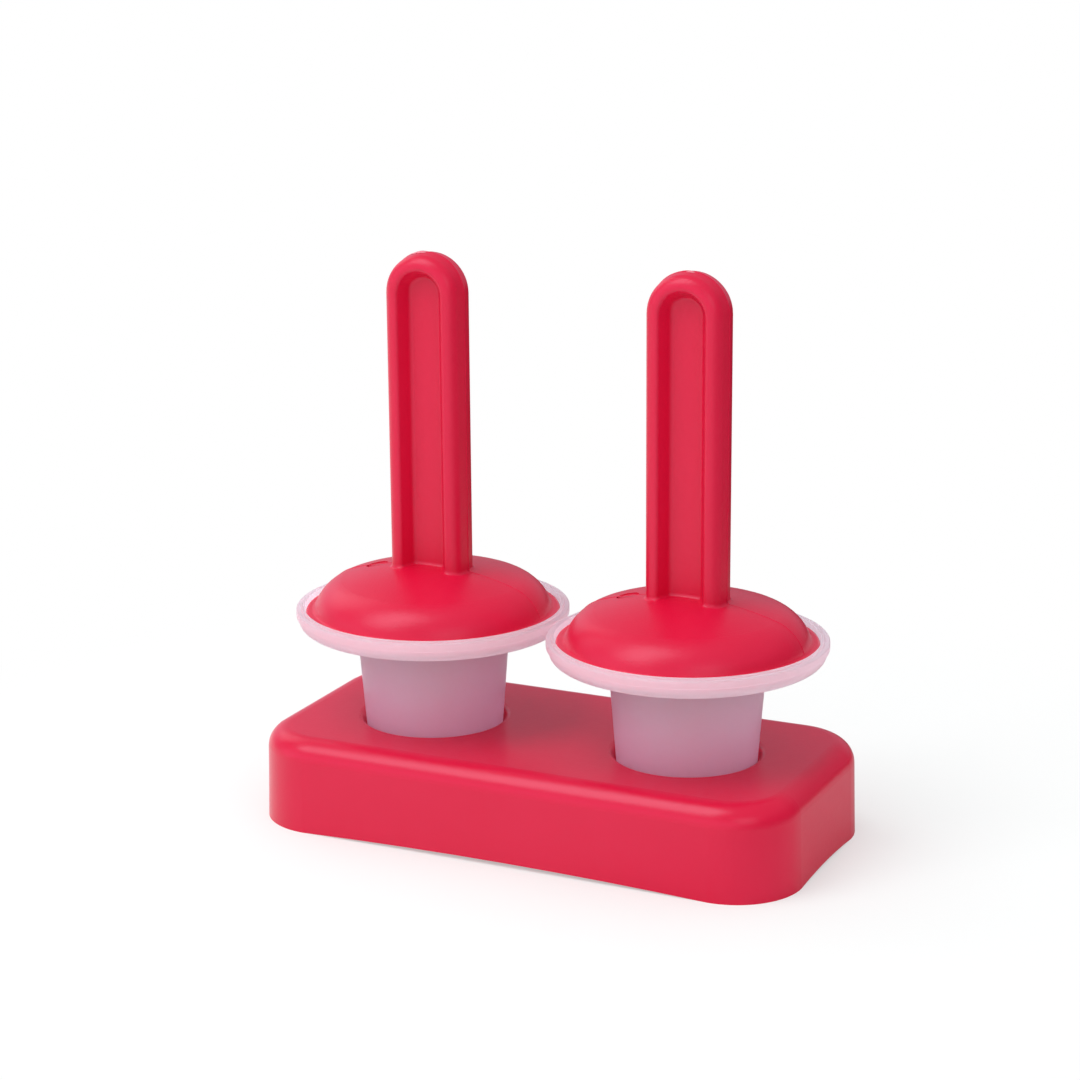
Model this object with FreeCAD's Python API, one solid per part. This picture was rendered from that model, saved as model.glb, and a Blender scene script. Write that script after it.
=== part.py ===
import FreeCAD
import Part

import math
import os

# Ice pop mold: a low stand with two wells, two cups with saucer-like rims, and two lids. Each lid is
# one moulding: the upright handle, the dome that catches drips, and the stick that the ice grips.
# Millimetres, +Z up. The origin is on the ground under the middle of the stand, X runs along the
# stand from one cup to the other, and the front faces -Y.

# Stand: a block with drafted walls and soft edges, hollow underneath, a little larger in plan than
# the two cup rims side by side
stand_end_margin = 2.35
stand_side_margin = 0.2
stand_height = 23.8
stand_corner_radius = 17.3
stand_draft = 1.5
stand_edge_radius = 5.5
stand_wall = 2.2
stand_roof = 2.4
foot_arch_front = 1.1
foot_arch_end = 0.8

# Wells of the stand: each is a tapered pocket with a closed floor that a cup stands on
well_floor_height = 1.6
well_floor = 2.0
well_wall = 2.0
well_clearance = 0.6
well_mouth_radius = 1.5

# Cups: a tapered body below, a shallow saucer above with a lip round its edge
cup_base_radius = 16.1
cup_draft = 4.5
cup_body_height = 44.6
cup_wall = 1.4
cup_corner_radius = 4.0
cup_neck_radius = 1.2
saucer_height = 4.8
saucer_draft = 2.5
saucer_corner_radius = 2.0
rim_radius = 34.8
rim_width = 2.1
rim_gap = 0.6
lip_height = 1.9
lip_overhang = 0.6
rim_edge_radius = 0.35
bead_height = 0.5
bead_width = 0.8
bead_edge_radius = 0.2

# Lids: a skirt that sits in the saucer, a narrow brim and a dome
lid_clearance = 0.3
lid_wall = 2.0
brim_drop = 0.6
brim_width = 1.7
brim_fillet = 0.7
brim_edge_radius = 0.6
dome_rise = 11.2
dome_crown_radius = 76.0
dome_edge_radius = 10.7
gate_mark_radius = 2.8
gate_mark_depth = 0.3
gate_mark_gap = 2.05

# Handles: a flat bar with a round top end, a thick rolled border and a sunken panel on each face.
# The border is widest in the middle of its thickness, where the mould parts
handle_length = 80.2
handle_width = 20.5
handle_thickness = 10.6
handle_border = 4.1
handle_draft = 8.0
handle_edge_radius = 2.9
handle_crest_radius = 1.5
recess_depth = 4.0
recess_draft = 26.0
recess_edge_radius = 1.1
recess_root_radius = 1.3
handle_foot_radius = 0.9

# Sticks: a flat tapered blade under each dome with a round tip and holes that the ice locks into
stick_width = 11.5
stick_tip_width = 9.0
stick_tip_flat = 0.9
stick_thickness = 3.4
stick_tip_gap = 6.0
stick_hole_radius = 1.8
stick_hole_pitch = 9.0
stick_hole_count = 3
stick_edge_radius = 0.8

# Heights and radii that follow from the sizes above
cup_floor_z = well_floor_height + well_floor
saucer_z = cup_floor_z + cup_body_height
rim_z = saucer_z + saucer_height
seat_z = saucer_z + cup_wall
brim_z = rim_z - brim_drop
dome_z = brim_z + dome_rise
handle_top_z = dome_z + handle_length
cup_neck_outer = cup_base_radius + cup_body_height * math.tan(math.radians(cup_draft))
rim_inner = rim_radius - rim_width
skirt_radius = rim_inner - lid_clearance
dome_radius = skirt_radius - brim_width
cup_spacing = 2 * rim_radius + rim_gap
stand_length = cup_spacing + 2 * (rim_radius + stand_end_margin)
stand_depth = 2 * (rim_radius + stand_side_margin)
gate_mark_offset = handle_width / 2 + handle_foot_radius + gate_mark_gap + gate_mark_radius

up = FreeCAD.Vector(0, 0, 1)
forward = FreeCAD.Vector(0, 1, 0)
origin = FreeCAD.Vector(0, 0, 0)


def rounded_wire(corners, place):
    """Closed outline through (u, v, radius) corners, each turned by a tangent arc of its radius."""
    arcs = []
    for index, (u, v, radius) in enumerate(corners):
        here = place(u, v)
        if radius == 0:
            arcs.append((here, None, here))
            continue
        before = corners[index - 1]
        after = corners[(index + 1) % len(corners)]
        back = (place(before[0], before[1]) - here).normalize()
        on = (place(after[0], after[1]) - here).normalize()
        half_angle = back.getAngle(on) / 2
        bisector = (back + on).normalize()
        setback = radius / math.tan(half_angle)
        middle = here + bisector * (radius / math.sin(half_angle) - radius)
        arcs.append((here + back * setback, middle, here + on * setback))
    edges = []
    for index, (start, middle, end) in enumerate(arcs):
        if middle is not None:
            edges.append(Part.Arc(start, middle, end).toShape())
        next_start = arcs[(index + 1) % len(arcs)][0]
        if end.distanceToPoint(next_start) > 1e-6:
            edges.append(Part.LineSegment(end, next_start).toShape())
    return Part.Wire(edges)


def in_section(r, z):
    """A point of a turned outline: r from the axis and z up."""
    return FreeCAD.Vector(r, 0, z)


def turned(corners):
    """Solid of revolution about Z of a rounded outline in the r-z half plane."""
    outline = Part.Face(rounded_wire(corners, in_section))
    return outline.revolve(origin, up, 360)


def rounded_block(length, depth, corner_radius, bottom, top, draft):
    """Block with round upright corners whose walls lean in by the draft angle as they rise."""
    sections = []
    for z in (bottom, top):
        lean = (z - bottom) * math.tan(math.radians(draft))
        half_x = length / 2 - lean
        half_y = depth / 2 - lean
        radius = corner_radius - lean
        corners = [(half_x, half_y, radius), (-half_x, half_y, radius),
                   (-half_x, -half_y, radius), (half_x, -half_y, radius)]
        sections.append(rounded_wire(corners, lambda x, y, level=z: FreeCAD.Vector(x, y, level)))
    return Part.makeLoft(sections, True, True)


def cup_radius_at(z):
    """Outer radius of a cup's body at height z."""
    return cup_base_radius + (z - cup_floor_z) * math.tan(math.radians(cup_draft))


def arch_cut(span, rise, across, along_x):
    """Shallow circular segment under a wall, run right through the stand along Y or along X."""
    ends = (-span / 2, span / 2)
    if along_x:
        points = [FreeCAD.Vector(-across / 2, ends[0], 0), FreeCAD.Vector(-across / 2, 0, rise),
                  FreeCAD.Vector(-across / 2, ends[1], 0)]
        run = FreeCAD.Vector(across, 0, 0)
    else:
        points = [FreeCAD.Vector(ends[0], -across / 2, 0), FreeCAD.Vector(0, -across / 2, rise),
                  FreeCAD.Vector(ends[1], -across / 2, 0)]
        run = FreeCAD.Vector(0, across, 0)
    arch = Part.Arc(points[0], points[1], points[2]).toShape()
    chord = Part.LineSegment(points[2], points[0]).toShape()
    return Part.Face(Part.Wire([arch, chord])).extrude(run)


def level_edges(shape, z):
    """Edges of a shape that lie level at height z."""
    return [edge for edge in shape.Edges
            if edge.BoundBox.ZLength < 1e-4 and abs(edge.BoundBox.ZMin - z) < 1e-4]


def make_stand():
    """Stand: one moulded shell, open underneath, with a well for each cup and four corner feet."""
    roof_z = stand_height - stand_roof
    block = rounded_block(stand_length, stand_depth, stand_corner_radius, 0, stand_height, stand_draft)
    block = block.makeFillet(stand_edge_radius, level_edges(block, stand_height))
    hollow = rounded_block(stand_length - 2 * stand_wall, stand_depth - 2 * stand_wall,
                           stand_corner_radius - stand_wall, 0, roof_z, stand_draft)
    hollow = hollow.makeFillet(stand_edge_radius - stand_wall, level_edges(hollow, roof_z))
    shell = block.cut(hollow)
    well_radius_low = cup_radius_at(cup_floor_z) + well_clearance
    well_radius_top = cup_radius_at(stand_height) + well_clearance
    jacket_top = stand_height - stand_roof / 2
    jacket = turned([
        (0, well_floor_height, 0),
        (well_radius_low + well_wall, well_floor_height, cup_corner_radius),
        (well_radius_top + well_wall, jacket_top, 0),
        (0, jacket_top, 0),
    ])
    pocket = turned([
        (0, cup_floor_z, 0),
        (well_radius_low, cup_floor_z, cup_corner_radius - well_clearance),
        (well_radius_top, stand_height, 0),
        (0, stand_height, 0),
    ])
    for side in (-1, 1):
        place = FreeCAD.Vector(side * cup_spacing / 2, 0, 0)
        shell = shell.fuse(jacket.translated(place))
        shell = shell.cut(pocket.translated(place))
    shell = shell.removeSplitter()
    mouths = [edge for edge in level_edges(shell, stand_height)
              if abs(edge.BoundBox.XLength / 2 - well_radius_top) < 1e-3]
    shell = shell.makeFillet(well_mouth_radius, mouths)
    shell = shell.cut(arch_cut(stand_length - 2 * stand_corner_radius, foot_arch_front, stand_depth, False))
    shell = shell.cut(arch_cut(stand_depth - 2 * stand_corner_radius, foot_arch_end, stand_length, True))
    return shell


def make_cup():
    """Cup: one turned moulding, from the round floor up the tapered body to the saucer and its lip."""
    inner_neck = cup_neck_outer - cup_wall
    inner_floor = cup_base_radius - cup_wall
    wall_radius = rim_radius - lip_overhang
    outline = [
        (0, cup_floor_z, 0),
        (cup_base_radius, cup_floor_z, cup_corner_radius),
        (cup_neck_outer, saucer_z, cup_neck_radius),
        (wall_radius - saucer_height * math.tan(math.radians(saucer_draft)), saucer_z, saucer_corner_radius),
        (wall_radius, rim_z - lip_height, 0),
        (rim_radius, rim_z - lip_height, bead_edge_radius),
        (rim_radius, rim_z, rim_edge_radius),
        (rim_inner + bead_width, rim_z, bead_edge_radius),
        (rim_inner + bead_width, rim_z + bead_height, bead_edge_radius),
        (rim_inner, rim_z + bead_height, bead_edge_radius),
        (rim_inner, seat_z, saucer_corner_radius - cup_wall),
        (inner_neck, seat_z, cup_neck_radius),
        (inner_floor, cup_floor_z + cup_wall, cup_corner_radius - cup_wall),
        (0, cup_floor_z + cup_wall, 0),
    ]
    return turned(outline)


def dome_outline(inset, low_z):
    """Half section of the dome, set in by the inset: crown arc, edge arc, then straight down."""
    crown = dome_crown_radius - inset
    edge = dome_edge_radius - inset
    outer = dome_radius - inset
    crown_z = dome_z - dome_crown_radius
    reach = outer - edge
    rise = math.sqrt((crown - edge) ** 2 - reach ** 2)
    edge_z = crown_z + rise
    lean = math.atan2(reach, rise)
    apex = in_section(0, crown_z + crown)
    mid_crown = in_section(crown * math.sin(lean / 2), crown_z + crown * math.cos(lean / 2))
    join = in_section(crown * math.sin(lean), crown_z + crown * math.cos(lean))
    half_turn = (lean + math.pi / 2) / 2
    mid_edge = in_section(reach + edge * math.sin(half_turn), edge_z + edge * math.cos(half_turn))
    side = in_section(outer, edge_z)
    foot = in_section(outer, low_z)
    axis_foot = in_section(0, low_z)
    return Part.Wire([
        Part.Arc(apex, mid_crown, join).toShape(),
        Part.Arc(join, mid_edge, side).toShape(),
        Part.LineSegment(side, foot).toShape(),
        Part.LineSegment(foot, axis_foot).toShape(),
        Part.LineSegment(axis_foot, apex).toShape(),
    ])


def dome_solid(inset, low_z):
    """Solid under the dome's surface, set in by the inset."""
    return Part.Face(dome_outline(inset, low_z)).revolve(origin, up, 360)


def dome_height_at(radius):
    """Height of the dome's crown at a distance from its axis."""
    return dome_z - dome_crown_radius + math.sqrt(dome_crown_radius ** 2 - radius ** 2)


def make_handle():
    """Handle: half of its section runs straight up and is then turned over the round top end."""
    half_width = handle_width / 2
    half_thickness = handle_thickness / 2
    panel = half_thickness - recess_depth
    mouth = half_width - handle_border
    root = mouth - recess_depth * math.tan(math.radians(recess_draft))
    mouth_setback = recess_edge_radius * math.tan(math.radians(90 - recess_draft) / 2)
    corner = half_width - half_thickness * math.tan(math.radians(handle_draft))
    corner_setback_ratio = math.tan(math.radians(90 - handle_draft) / 2)
    outer_radius = min(handle_edge_radius, (corner - mouth - mouth_setback) / corner_setback_ratio)
    front = [(0, -panel, 0), (root, -panel, recess_root_radius),
             (mouth, -half_thickness, recess_edge_radius), (corner, -half_thickness, outer_radius)]
    back = [(x, -y, radius) for x, y, radius in reversed(front)]
    half_section = front + [(half_width, 0, handle_crest_radius)] + back
    turn_z = handle_top_z - half_width
    foot_z = (dome_height_at(math.hypot(half_width, half_thickness)) + dome_z - lid_wall) / 2
    section = Part.Face(rounded_wire(half_section, lambda x, y: FreeCAD.Vector(x, y, turn_z)))
    top_end = section.revolve(FreeCAD.Vector(0, 0, turn_z), forward, -180)
    right = section.extrude(FreeCAD.Vector(0, 0, foot_z - turn_z))
    left = right.mirror(origin, FreeCAD.Vector(1, 0, 0))
    return right.fuse([left, top_end]).removeSplitter()


def make_stick():
    """Stick: a tapered blade with a round tip, rounded long edges and a row of holes."""
    tip_z = cup_floor_z + cup_wall + stick_tip_gap
    root_z = dome_z - lid_wall / 2
    half_root = stick_width / 2
    half_tip = stick_tip_width / 2
    tip_radius = (stick_tip_width - stick_tip_flat) / 2
    corners = [(half_root, root_z, 0), (-half_root, root_z, 0),
               (-half_tip, tip_z, tip_radius), (half_tip, tip_z, tip_radius)]
    face = Part.Face(rounded_wire(corners, lambda x, z: FreeCAD.Vector(x, -stick_thickness / 2, z)))
    blade = face.extrude(FreeCAD.Vector(0, stick_thickness, 0))
    long_edges = [edge for edge in blade.Edges
                  if all(abs(abs(vertex.Y) - stick_thickness / 2) < 1e-6 for vertex in edge.Vertexes)
                  and edge.BoundBox.YLength < 1e-6 and edge.BoundBox.ZMin < root_z - 1e-6]
    blade = blade.makeFillet(stick_edge_radius, long_edges)
    for step in range(stick_hole_count):
        height = tip_z + half_tip + step * stick_hole_pitch
        hole = Part.makeCylinder(stick_hole_radius, stick_thickness,
                                 FreeCAD.Vector(0, -stick_thickness / 2, height), forward)
        blade = blade.cut(hole)
    return blade


def make_lid():
    """Lid: the dome shell with its brim and skirt, the handle above it and the stick below it."""
    skirt_inner = skirt_radius - lid_wall
    low_z = seat_z - lid_wall
    brim = turned([
        (0, seat_z, 0),
        (skirt_radius, seat_z, saucer_corner_radius - cup_wall),
        (skirt_radius, brim_z, brim_edge_radius),
        (0, brim_z, 0),
    ])
    skirt_room = turned([
        (0, low_z, 0),
        (skirt_inner, low_z, 0),
        (skirt_inner, brim_z - lid_wall, 0),
        (0, brim_z - lid_wall, 0),
    ])
    skin = dome_solid(0, seat_z).fuse(brim).removeSplitter()
    creases = [edge for edge in level_edges(skin, brim_z) if edge.BoundBox.XLength / 2 < dome_radius + 1e-3]
    skin = skin.makeFillet(brim_fillet, creases)
    mark = Part.makeCylinder(gate_mark_radius, dome_rise, FreeCAD.Vector(-gate_mark_offset, 0, brim_z), up)
    skin = skin.cut(mark.cut(dome_solid(gate_mark_depth, low_z)))
    skin = skin.cut(dome_solid(lid_wall, low_z).fuse(skirt_room))
    lid = skin.fuse(make_handle()).removeSplitter()
    lowest_foot = dome_height_at(math.hypot(handle_width, handle_thickness) / 2)
    feet = [edge for edge in lid.Edges
            if edge.BoundBox.ZMin > lowest_foot - 0.01 and edge.BoundBox.ZMax < dome_z + 0.01]
    lid = lid.makeFillet(handle_foot_radius, feet)
    return lid.fuse(make_stick()).removeSplitter()


def write_step(name, shape):
    """Write a piece as one solid to its own file, after testing that it is whole."""
    solid = shape.Solids[0]
    print(name, "solids", len(shape.Solids), "valid", solid.isValid(), "volume", round(solid.Volume, 1))
    solid.exportStep("parts/" + name + ".step")


os.makedirs("parts", exist_ok=True)
write_step("stand_base", make_stand())
cup = make_cup()
lid = make_lid()
for side_name, side in (("left", -1), ("right", 1)):
    seat = FreeCAD.Vector(side * cup_spacing / 2, 0, 0)
    write_step("cup_" + side_name, cup.translated(seat))
    write_step("handle_lid_" + side_name, lid.translated(seat))
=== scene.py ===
import math

import bmesh
import bpy
from mathutils import Matrix, Vector, noise


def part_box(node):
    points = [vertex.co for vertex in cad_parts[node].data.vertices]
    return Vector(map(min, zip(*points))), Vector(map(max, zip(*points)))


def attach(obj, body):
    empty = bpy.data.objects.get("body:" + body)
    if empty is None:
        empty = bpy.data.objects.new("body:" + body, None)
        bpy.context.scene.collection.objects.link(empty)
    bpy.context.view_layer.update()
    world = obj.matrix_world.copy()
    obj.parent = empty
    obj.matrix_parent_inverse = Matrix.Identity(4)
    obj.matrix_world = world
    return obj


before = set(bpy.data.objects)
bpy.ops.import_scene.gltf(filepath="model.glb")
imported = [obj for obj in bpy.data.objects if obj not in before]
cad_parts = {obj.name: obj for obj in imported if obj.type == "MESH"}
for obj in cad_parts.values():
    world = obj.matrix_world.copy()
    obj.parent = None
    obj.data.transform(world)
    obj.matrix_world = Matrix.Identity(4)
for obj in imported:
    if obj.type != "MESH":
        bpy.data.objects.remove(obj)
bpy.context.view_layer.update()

# Stand: one thick-walled red moulding, open underneath, that carries both cups by their bodies.
# Coloured polypropylene, injection moulded in a mould with a fine spark-eroded grain, so it is
# satin all over, with slow drifts in the pigment and a grain that catches the light.
MM = 0.001
PLASTIC_IOR = 1.47
RED_PIGMENTS = ((0.665, 0.003, 0.036), (0.710, 0.006, 0.049))
DRIFT_PER_M = 38.0
RED_ROUGHNESS = 0.29
POLISH_SPREAD = 0.013
POLISH_PER_M = 420.0
RED_SHEEN_TINT = (1.0, 0.80, 1.0)
GRAIN_PER_M = 1700.0
GRAIN_DEPTH = 0.022 * MM
PATTERN_LOW = 0.3
PATTERN_HIGH = 0.7


def feed(tree, node, **inputs):
    """Set a shader node's inputs, each to a plain value or to the output of another node."""
    for name, value in inputs.items():
        socket = node.inputs[name.replace("_", " ")]
        if isinstance(value, bpy.types.NodeSocket):
            tree.links.new(value, socket)
        else:
            socket.default_value = value


def node_of(tree, kind, settings=None, **inputs):
    """New shader node with its settings and its inputs."""
    node = tree.nodes.new(kind)
    for name, value in (settings or {}).items():
        setattr(node, name, value)
    feed(tree, node, **inputs)
    return node


def pattern_of(tree, place, per_metre, detail, roughness=0.5):
    """Noise in object space, so that it stays put on the piece and needs no UVs."""
    return node_of(tree, "ShaderNodeTexNoise", Vector=place.outputs["Object"], Scale=per_metre,
                   Detail=detail, Roughness=roughness).outputs["Fac"]


def spread(tree, pattern, middle, reach):
    """Roughness that wanders with a pattern, by a small reach on both sides of a middle."""
    return node_of(tree, "ShaderNodeMapRange", Value=pattern, From_Min=PATTERN_LOW,
                   From_Max=PATTERN_HIGH, To_Min=middle - reach,
                   To_Max=middle + reach).outputs["Result"]


def colour_between(tree, share, colours):
    """Blend of two colours, by a 0 to 1 share of the second."""
    first, second = colours
    return node_of(tree, "ShaderNodeMix", {"data_type": "RGBA"}, Factor=share, A=(*first, 1),
                   B=(*second, 1)).outputs["Result"]


def grain_of(tree, place, per_metre, depth, roughness=0.5):
    """The mould's fine grain, as bump."""
    grain = pattern_of(tree, place, per_metre, detail=2.0, roughness=roughness)
    return node_of(tree, "ShaderNodeBump", Strength=1.0, Distance=depth,
                   Height=grain).outputs["Normal"]


def grained_plastic(name, pigments, roughness, grain_depth):
    """Satin polypropylene: pigment drift, patches of polish, and the mould's grain as bump."""
    material = bpy.data.materials.new(name)
    material.use_nodes = True
    tree = material.node_tree
    place = tree.nodes.new("ShaderNodeTexCoord")
    drift = pattern_of(tree, place, DRIFT_PER_M, detail=3.0)
    polish = pattern_of(tree, place, POLISH_PER_M, detail=4.0, roughness=0.6)
    feed(tree, tree.nodes["Principled BSDF"], IOR=PLASTIC_IOR,
         Specular_Tint=(*RED_SHEEN_TINT, 1),
         Base_Color=colour_between(tree, drift, pigments),
         Roughness=spread(tree, polish, roughness, POLISH_SPREAD),
         Normal=grain_of(tree, place, GRAIN_PER_M, grain_depth, roughness=0.7))
    return material


def dress(node_name, material):
    """Give a CAD node its finish."""
    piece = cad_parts[node_name]
    piece.data.materials.clear()
    piece.data.materials.append(material)


stand_red = grained_plastic("stand_red", RED_PIGMENTS, RED_ROUGHNESS, GRAIN_DEPTH)
dress("stand_base", stand_red)

# Cups: uncoloured polypropylene in one shot, 1.4 mm thick, with a matt mould so that the wall is
# frosted. The thin wall is painted pink low down, standing in for red light from the red parts
# round it; upward it turns lighter and whiter, partly painted light and partly the milky white of
# the thick rim.
# Pink painted low on the cup wall, standing in for red light from the red parts round it.
PAINTED_RED_GLOW_PINK = (1.0, 0.77, 0.91)
RIM_MILK = (0.94, 0.90, 0.96)
THROUGH_WALL = (1.0, 0.95, 1.0)
FROST_ROUGHNESS = 0.31
FROST_SPREAD = 0.012
FROST_PER_M = 900.0
FROST_GRAIN_PER_M = 3400.0
FROST_GRAIN_DEPTH = 0.002 * MM
FROST_TRANSMISSION = 0.58
MILK_SHARE = 0.55
SAUCER_Z = 48.2 * MM
MILK_START = SAUCER_Z - 24.0 * MM
MILK_FULL = SAUCER_Z + 2.0 * MM


def layered(tree, share, under, over):
    """Two surfaces in one, by a 0 to 1 share of the second."""
    mix = node_of(tree, "ShaderNodeMixShader", Fac=share)
    tree.links.new(under, mix.inputs[1])
    tree.links.new(over, mix.inputs[2])
    return mix.outputs["Shader"]


def frosted_milk(name):
    """Frosted natural polypropylene: rough refraction, with a share of light scattered through.
    Its colour is painted pink low down, standing in for red light from the red parts round it.
    Lamp light goes straight through the wall, so the cups cast no dark shadow."""
    material = bpy.data.materials.new(name)
    material.use_nodes = True
    tree = material.node_tree
    place = tree.nodes.new("ShaderNodeTexCoord")
    height = node_of(tree, "ShaderNodeSeparateXYZ", Vector=place.outputs["Object"]).outputs["Z"]
    # Painted red light: the wall colour is pink low down and turns to the rim's milky white
    # upward.
    painted_pink_fade = node_of(tree, "ShaderNodeMapRange", Value=height, From_Min=MILK_START,
                    From_Max=MILK_FULL).outputs["Result"]
    milk_with_painted_pink = colour_between(tree, painted_pink_fade, (PAINTED_RED_GLOW_PINK, RIM_MILK))
    frost = pattern_of(tree, place, FROST_PER_M, detail=3.0)
    clear = tree.nodes["Principled BSDF"]
    feed(tree, clear, IOR=PLASTIC_IOR, Transmission_Weight=FROST_TRANSMISSION, Base_Color=milk_with_painted_pink,
         Roughness=spread(tree, frost, FROST_ROUGHNESS, FROST_SPREAD),
         Normal=grain_of(tree, place, FROST_GRAIN_PER_M, FROST_GRAIN_DEPTH))
    scatter = node_of(tree, "ShaderNodeBsdfTranslucent", Color=milk_with_painted_pink)
    frosted = layered(tree, MILK_SHARE, clear.outputs["BSDF"], scatter.outputs["BSDF"])
    lamp_way = node_of(tree, "ShaderNodeBsdfTransparent", Color=(*THROUGH_WALL, 1))
    lamp_light = tree.nodes.new("ShaderNodeLightPath").outputs["Is Shadow Ray"]
    wall = layered(tree, lamp_light, frosted, lamp_way.outputs["BSDF"])
    feed(tree, tree.nodes["Material Output"], Surface=wall)
    return material


cup_frost = frosted_milk("cup_frost")
for cup in ("cup_left", "cup_right"):
    dress(cup, cup_frost)

# Lids: handle, drip dome and stick in one shot of the stand's red. The grain is deeper than on
# the stand, and the polish a little duller.
LID_ROUGHNESS = 0.33
LID_GRAIN_DEPTH = 0.050 * MM
lid_red = grained_plastic("lid_red", RED_PIGMENTS, LID_ROUGHNESS, LID_GRAIN_DEPTH)
for lid in ("handle_lid_left", "handle_lid_right"):
    dress(lid, lid_red)

# Parting lines: where the two halves of the lid mould met, a hair of plastic crept between them.
# It runs from the brim over the dome, up one side of the handle, round its end and down the other
# side. The lengths and radii of the lid itself are the solids' own.
HANDLE_WIDTH = 20.5 * MM
HANDLE_LENGTH = 80.2 * MM
FOOT_RADIUS = 0.9 * MM
CROWN_RADIUS = 76.0 * MM
EDGE_RADIUS = 10.7 * MM
BRIM_WIDTH = 1.7 * MM
EDGE_STEPS = 14
CROWN_STEPS = 12
FOOT_STEPS = 5
RAIL_STEPS = 40
TURN_STEPS = 24
FLASH_HEIGHT = 0.11 * MM
FLASH_WIDTH = 0.34 * MM
FLASH_ROOT = 0.05 * MM
FLASH_CREST = FLASH_WIDTH / 7
FLASH_WANDER = 0.7
FLASH_WANDER_PER_M = 260.0


def arc_points(centre, radius, start, end, steps, inward=1):
    """Points of an arc in the x-z plane, each with the way out of the plastic. Angle 0 is +X."""
    points = []
    for step in range(steps + 1):
        angle = start + (end - start) * step / steps
        away = Vector((math.cos(angle), 0, math.sin(angle)))
        points.append((centre + away * radius, away * inward))
    return points


def parting_path(low, high):
    """Right half of a lid's line, from the brim to the top, as points with their way out."""
    axis = (low.x + high.x) / 2
    top = high.z
    half_width = HANDLE_WIDTH / 2
    dome_radius = (high.x - low.x) / 2 - BRIM_WIDTH
    lean = math.asin((dome_radius - EDGE_RADIUS) / (CROWN_RADIUS - EDGE_RADIUS))
    edge_turn = math.pi / 2 - lean
    foot_turn = math.acos((half_width + FOOT_RADIUS) / CROWN_RADIUS)
    crown_centre = Vector((axis, 0, top - HANDLE_LENGTH - CROWN_RADIUS))
    edge_centre = crown_centre + Vector((math.sin(lean), 0, math.cos(lean))) * (
        CROWN_RADIUS - EDGE_RADIUS)
    foot_centre = crown_centre + Vector((math.cos(foot_turn), 0, math.sin(foot_turn))) * (
        CROWN_RADIUS + FOOT_RADIUS)
    foot_start = 1.5 * math.pi - (math.pi / 2 - foot_turn)
    turn_centre = Vector((axis, 0, top - half_width))
    path = arc_points(edge_centre, EDGE_RADIUS, 0, edge_turn, EDGE_STEPS)
    path += arc_points(crown_centre, CROWN_RADIUS, edge_turn, foot_turn, CROWN_STEPS)[1:]
    path += arc_points(foot_centre, FOOT_RADIUS, foot_start, math.pi, FOOT_STEPS, inward=-1)[1:]
    rail = turn_centre.z - foot_centre.z
    for step in range(1, RAIL_STEPS):
        height = foot_centre.z + rail * step / RAIL_STEPS
        path.append((Vector((axis + half_width, 0, height)), Vector((1, 0, 0))))
    path += arc_points(turn_centre, half_width, 0, math.pi / 2, TURN_STEPS)
    return path


def lid_piece(name, mesh, rows, material):
    """Join rows of points into a smooth skin on a lid, as a piece that rides with the set."""
    for row, next_row in zip(rows, rows[1:]):
        for index in range(len(row) - 1):
            mesh.faces.new((row[index], row[index + 1], next_row[index + 1], next_row[index]))
    data = bpy.data.meshes.new(name)
    bmesh.ops.recalc_face_normals(mesh, faces=mesh.faces)
    mesh.to_mesh(data)
    mesh.free()
    data.shade_smooth()
    data.materials.append(material)
    piece = bpy.data.objects.new(name, data)
    bpy.context.scene.collection.objects.link(piece)
    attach(piece, "root")


def flash_line(name, low, high):
    """Thin ridge along a lid's whole parting line, uneven in height as flash is."""
    axis = (low.x + high.x) / 2
    right = parting_path(low, high)
    left = [(Vector((2 * axis - point.x, 0, point.z)), Vector((-away.x, 0, away.z)))
            for point, away in reversed(right[:-1])]
    mesh = bmesh.new()
    rows = []
    for point, away in right + left:
        wander = noise.noise(point * FLASH_WANDER_PER_M)
        height = FLASH_HEIGHT * (1.0 + FLASH_WANDER * wander)
        profile = [(-FLASH_WIDTH / 2, -FLASH_ROOT), (-FLASH_CREST, height),
                   (FLASH_CREST, height), (FLASH_WIDTH / 2, -FLASH_ROOT)]
        rows.append([mesh.verts.new(point + away * rise + Vector((0, across, 0)))
                     for across, rise in profile])
    lid_piece(name, mesh, rows, lid_red)


for lid, side in (("handle_lid_left", "left"), ("handle_lid_right", "right")):
    flash_line("parting_flash_" + side, *[Vector(corner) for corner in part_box(lid)])

# Gate stubs: the red plastic entered each lid mould at the end of the handle. The runner was
# trimmed off by hand, which left a low uneven stub with a cut top, coloured a paler pink than the
# lid.
STUB_PINK = (0.80, 0.22, 0.27)
STUB_ROUGHNESS = 0.5
STUB_GRAIN_DEPTH = 0.02 * MM
STUB_SINK = 0.06 * MM
STUB_STEPS_ALONG = 16
STUB_STEPS_ACROSS = 8
CUT_LEVEL = 0.62
CUT_SLOPE = 0.30
CUT_UNEVENNESS = 0.16
CUT_WAVES = 3
CUT_CHANGE_PER_M = 100
BORDER_FALL_PER_M = 40.0
stub_pale = grained_plastic("stub_pale", (STUB_PINK, STUB_PINK), STUB_ROUGHNESS,
                            STUB_GRAIN_DEPTH)


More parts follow.
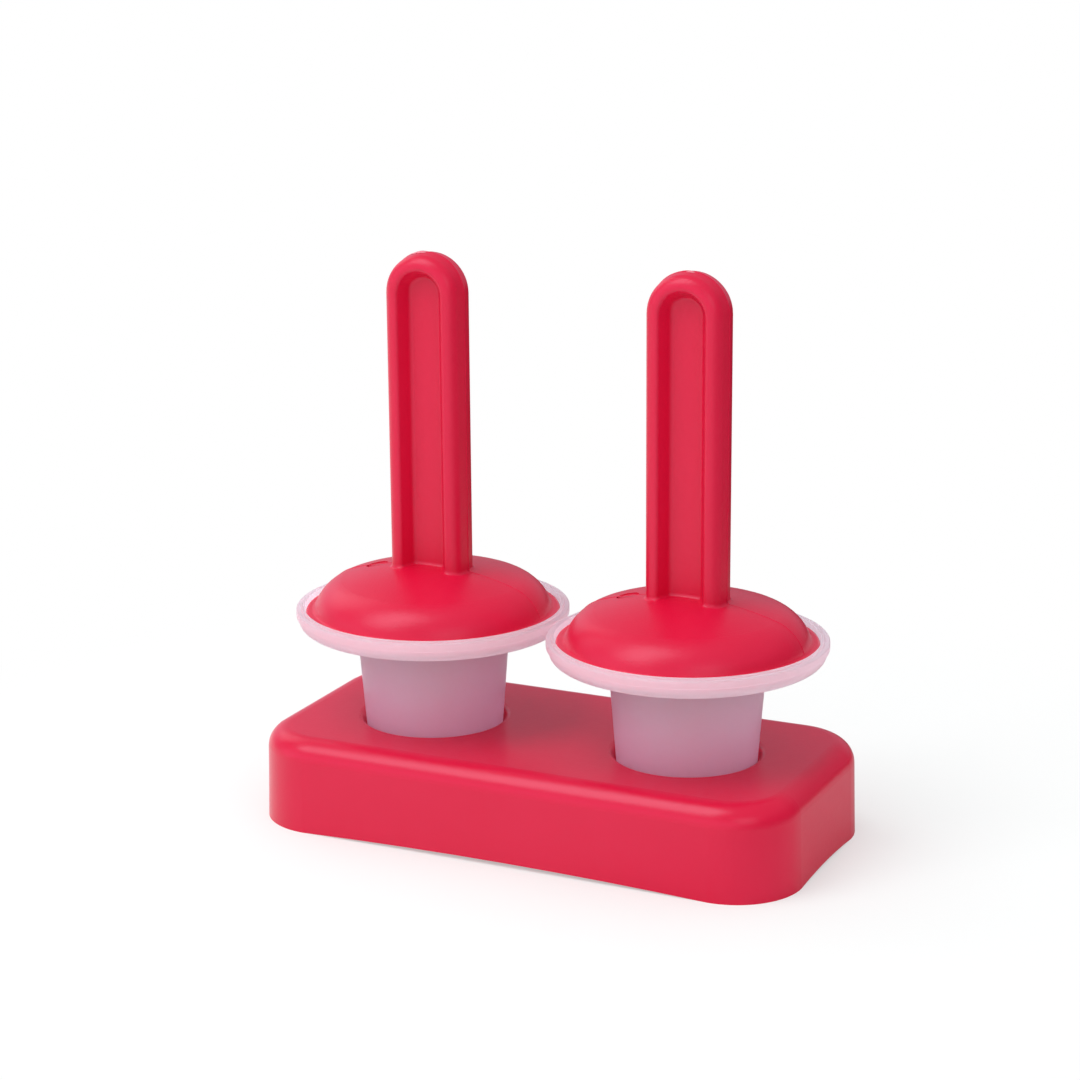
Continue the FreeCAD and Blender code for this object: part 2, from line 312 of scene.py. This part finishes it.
def gate_stub(name, low, high, lean, length, width, height, set_forward):
    """Low mound on the handle's round end, with a cut top that slopes off to the left."""
    axis = (low.x + high.x) / 2
    half_width = HANDLE_WIDTH / 2
    centre = Vector((axis, 0, high.z - half_width))
    mesh = bmesh.new()
    rows = []
    for i in range(STUB_STEPS_ALONG + 1):
        u = 2 * i / STUB_STEPS_ALONG - 1
        turn = math.pi / 2 - lean - u * length / 2 / half_width
        away = Vector((math.cos(turn), 0, math.sin(turn)))
        row = []
        for j in range(STUB_STEPS_ACROSS + 1):
            v = 2 * j / STUB_STEPS_ACROSS - 1
            across = v * width / 2 - set_forward
            mound = max(0.0, 1 - u * u) ** 0.5 * max(0.0, 1 - v * v) ** 0.5
            wave = noise.noise(Vector((u * CUT_WAVES, v * CUT_WAVES, axis * CUT_CHANGE_PER_M)))
            cut = CUT_LEVEL + CUT_SLOPE * u + CUT_UNEVENNESS * wave
            rise = height * min(mound, cut) - STUB_SINK * (1 - mound)
            fall = across ** 2 * BORDER_FALL_PER_M
            row.append(mesh.verts.new(centre + away * (half_width + rise - fall)
                                      + Vector((0, across, 0))))
        rows.append(row)
    lid_piece(name, mesh, rows, stub_pale)


gate_stub("gate_stub_left", *[Vector(corner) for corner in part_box("handle_lid_left")],
          lean=math.radians(-11), length=4.0 * MM, width=1.8 * MM, height=0.34 * MM,
          set_forward=0.3 * MM)
gate_stub("gate_stub_right", *[Vector(corner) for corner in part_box("handle_lid_right")],
          lean=math.radians(2), length=2.0 * MM, width=1.1 * MM, height=0.14 * MM,
          set_forward=0.5 * MM)

# Table: a white sheet under the set, far larger than the picture. It takes the set's shadow close
# to the stand and runs out to plain white. The gloss on the red shows it bright on the front left
# and dim on the right, and weaker close to the stand.
WHITE = (1, 1, 1)
TABLE_REACH = 4.0
TABLE_PAPER = (0.885, 0.915, 0.910)
PAPER_ROUGHNESS = 0.9
SHADE_NEAR = 95.0 * MM
SHADE_FAR = 210.0 * MM
SHADE_WHITE = 0.42
GLEAM = 1.25
GLEAM_SIDE = (-0.80, -0.60, 0.0)
GLEAM_START = -0.5
GLEAM_FULL = 0.6
GLEAM_NEAR = 120.0 * MM
GLEAM_FAR = 320.0 * MM
GLEAM_AT_STAND = 0.35


def smooth_change(tree, value, start, end, low, high):
    """Smooth change from low to high while a value goes from start to end."""
    return node_of(tree, "ShaderNodeMapRange", {"interpolation_type": "SMOOTHSTEP"}, Value=value,
                   From_Min=start, From_Max=end, To_Min=low, To_Max=high).outputs["Result"]


def joined(tree, operation, first, second):
    """Two values made into one: their product, their sum or the larger of them."""
    node = node_of(tree, "ShaderNodeMath", {"operation": operation})
    tree.links.new(first, node.inputs[0])
    tree.links.new(second, node.inputs[1])
    return node.outputs["Value"]


def turned_to(tree, direction, side):
    """How far a direction is turned to a side: 1 straight to it, -1 straight away from it."""
    node = node_of(tree, "ShaderNodeVectorMath", {"operation": "DOT_PRODUCT"})
    node.inputs[1].default_value = side
    tree.links.new(direction, node.inputs[0])
    return node.outputs["Value"]


table_mesh = bpy.data.meshes.new("table")
corners = [(x * TABLE_REACH, y * TABLE_REACH, 0) for x, y in ((-1, -1), (1, -1), (1, 1), (-1, 1))]
table_mesh.from_pydata(corners, [], [(0, 1, 2, 3)])
table = bpy.data.objects.new("table", table_mesh)
bpy.context.scene.collection.objects.link(table)

table_white = bpy.data.materials.new("table_white")
table_white.use_nodes = True
tree = table_white.node_tree
paper = tree.nodes["Principled BSDF"]
feed(tree, paper, Base_Color=(*TABLE_PAPER, 1), Roughness=PAPER_ROUGHNESS)
rays = tree.nodes.new("ShaderNodeLightPath").outputs
place = tree.nodes.new("ShaderNodeTexCoord").outputs["Object"]
from_middle = node_of(tree, "ShaderNodeVectorMath", {"operation": "LENGTH"},
                      Vector=place).outputs["Value"]
outward = node_of(tree, "ShaderNodeVectorMath", {"operation": "NORMALIZE"},
                  Vector=place).outputs["Vector"]

fade = smooth_change(tree, from_middle, SHADE_NEAR, SHADE_FAR, SHADE_WHITE, 1.0)
white_share = joined(tree, "MAXIMUM", joined(tree, "MULTIPLY", rays["Is Camera Ray"], fade),
                     rays["Is Transmission Ray"])
plain_white = node_of(tree, "ShaderNodeEmission", Color=(*WHITE, 1), Strength=1.0)
sheet = layered(tree, white_share, paper.outputs["BSDF"], plain_white.outputs["Emission"])

gleam_level = smooth_change(tree, turned_to(tree, outward, GLEAM_SIDE), GLEAM_START, GLEAM_FULL,
                            0.0, GLEAM)
gleam = node_of(tree, "ShaderNodeEmission", Color=(*WHITE, 1), Strength=gleam_level)
gleam_reach = smooth_change(tree, from_middle, GLEAM_NEAR, GLEAM_FAR, GLEAM_AT_STAND, 1.0)
gleam_share = joined(tree, "MULTIPLY", gleam_reach, rays["Is Glossy Ray"])
feed(tree, tree.nodes["Material Output"],
     Surface=layered(tree, gleam_share, sheet, gleam.outputs["Emission"]))
table_mesh.materials.append(table_white)

# Room: white all round, and plain white behind the set. It lights the set most from above. The
# gloss on the red shows white cards in front, to the left and behind, a dim ceiling over them,
# and a dark right side.
AMBIENT_SIDE = 0.32
AMBIENT_TOP = 1.05
CARDS = [((-0.35, -0.94, 0.0), 1.60), ((-1.0, 0.0, 0.0), 0.50), ((-0.43, 0.90, 0.0), 0.42)]
CARD_EDGE = 0.35
CARD_MIDDLE = 0.95
ROOM_DARK = 0.03
CEILING = 0.32
CEILING_START = 0.25
CEILING_FULL = 0.70
MIRRORED_TINT = (1.0, 0.88, 1.08)

room = bpy.data.worlds.new("studio")
bpy.context.scene.world = room
room.use_nodes = True
tree = room.node_tree
rays = tree.nodes.new("ShaderNodeLightPath").outputs
direction = tree.nodes.new("ShaderNodeTexCoord").outputs["Generated"]
height = node_of(tree, "ShaderNodeSeparateXYZ", Vector=direction).outputs["Z"]
ambient = node_of(tree, "ShaderNodeMapRange", Value=height, To_Min=AMBIENT_SIDE,
                  To_Max=AMBIENT_TOP).outputs["Result"]
seen = joined(tree, "MAXIMUM", rays["Is Camera Ray"], rays["Is Transmission Ray"])
plain = node_of(tree, "ShaderNodeMix", Factor=seen, A=ambient, B=1.0).outputs["Result"]

walls = node_of(tree, "ShaderNodeValue").outputs["Value"]
walls.default_value = ROOM_DARK
for side, brightness in CARDS:
    card = smooth_change(tree, turned_to(tree, direction, side), CARD_EDGE, CARD_MIDDLE, 0.0,
                         brightness)
    walls = joined(tree, "ADD", walls, card)
below_ceiling = smooth_change(tree, height, CEILING_START, CEILING_FULL, 1.0, 0.0)
ceiling = smooth_change(tree, height, CEILING_START, CEILING_FULL, 0.0, CEILING)
mirrored = joined(tree, "ADD", joined(tree, "MULTIPLY", below_ceiling, walls), ceiling)

in_gloss = rays["Is Glossy Ray"]
level = node_of(tree, "ShaderNodeMix", Factor=in_gloss, A=plain, B=mirrored).outputs["Result"]
feed(tree, tree.nodes["Background"], Strength=level,
     Color=colour_between(tree, in_gloss, (WHITE, MIRRORED_TINT)))

# Soft lights: a large soft box at the front left, high over the set, and weaker ones at the front
# right and at the left. All face the middle of the set. Distances and sizes are in metres.
SET_MIDDLE = Vector((0, 0, 60 * MM))


def way_out(azimuth, elevation):
    """Way from the set to a lamp or the camera. Azimuth 0 is in front, 90 to the right."""
    turn = math.radians(azimuth)
    tilt = math.radians(elevation)
    return Vector((math.sin(turn) * math.cos(tilt), -math.cos(turn) * math.cos(tilt),
                   math.sin(tilt)))


def soft_light(name, azimuth, elevation, distance, width, height, power):
    """Soft box that faces the middle of the set."""
    lamp = bpy.data.lights.new(name, "AREA")
    lamp.shape = "RECTANGLE"
    lamp.size = width
    lamp.size_y = height
    lamp.energy = power
    holder = bpy.data.objects.new(name, lamp)
    away = way_out(azimuth, elevation)
    holder.location = SET_MIDDLE + away * distance
    holder.rotation_euler = away.to_track_quat("Z", "Y").to_euler()
    bpy.context.scene.collection.objects.link(holder)


soft_light("key_soft_box", azimuth=-38, elevation=56, distance=0.95, width=0.50, height=0.75,
           power=4.05)
soft_light("right_soft_box", azimuth=42, elevation=27, distance=1.20, width=0.60, height=0.60,
           power=1.35)
soft_light("left_soft_box", azimuth=-110, elevation=35, distance=0.95, width=0.50, height=0.50,
           power=0.8)

# Camera: at the photograph's place, found from the rims, domes, handles and the stand's edges.
# The lens is given by its focal length in pixels of the square picture, and angles in degrees.
FOCAL_PIXELS = 2831.6
FRAME_PIXELS = 1080
SENSOR_MM = 36.0
SIGHT_END = 20
VIEW_AZIMUTH = 25.51
VIEW_ELEVATION = 15.43
VIEW_ROLL = -0.448
VIEW_DISTANCE = 704.5 * MM
VIEW_TARGET = Vector((-4.735, 0, 73.39)) * MM

lens = bpy.data.cameras.new("camera")
lens.sensor_width = SENSOR_MM
lens.sensor_fit = "HORIZONTAL"
lens.lens = FOCAL_PIXELS / FRAME_PIXELS * SENSOR_MM
lens.clip_end = SIGHT_END
camera = bpy.data.objects.new("camera", lens)
back = way_out(VIEW_AZIMUTH, VIEW_ELEVATION)
camera.matrix_world = (Matrix.Translation(VIEW_TARGET + back * VIEW_DISTANCE)
                       @ back.to_track_quat("Z", "Y").to_matrix().to_4x4()
                       @ Matrix.Rotation(math.radians(VIEW_ROLL), 4, "Z"))
bpy.context.scene.collection.objects.link(camera)
bpy.context.scene.camera = camera
bpy.context.scene.view_settings.view_transform = "Standard"
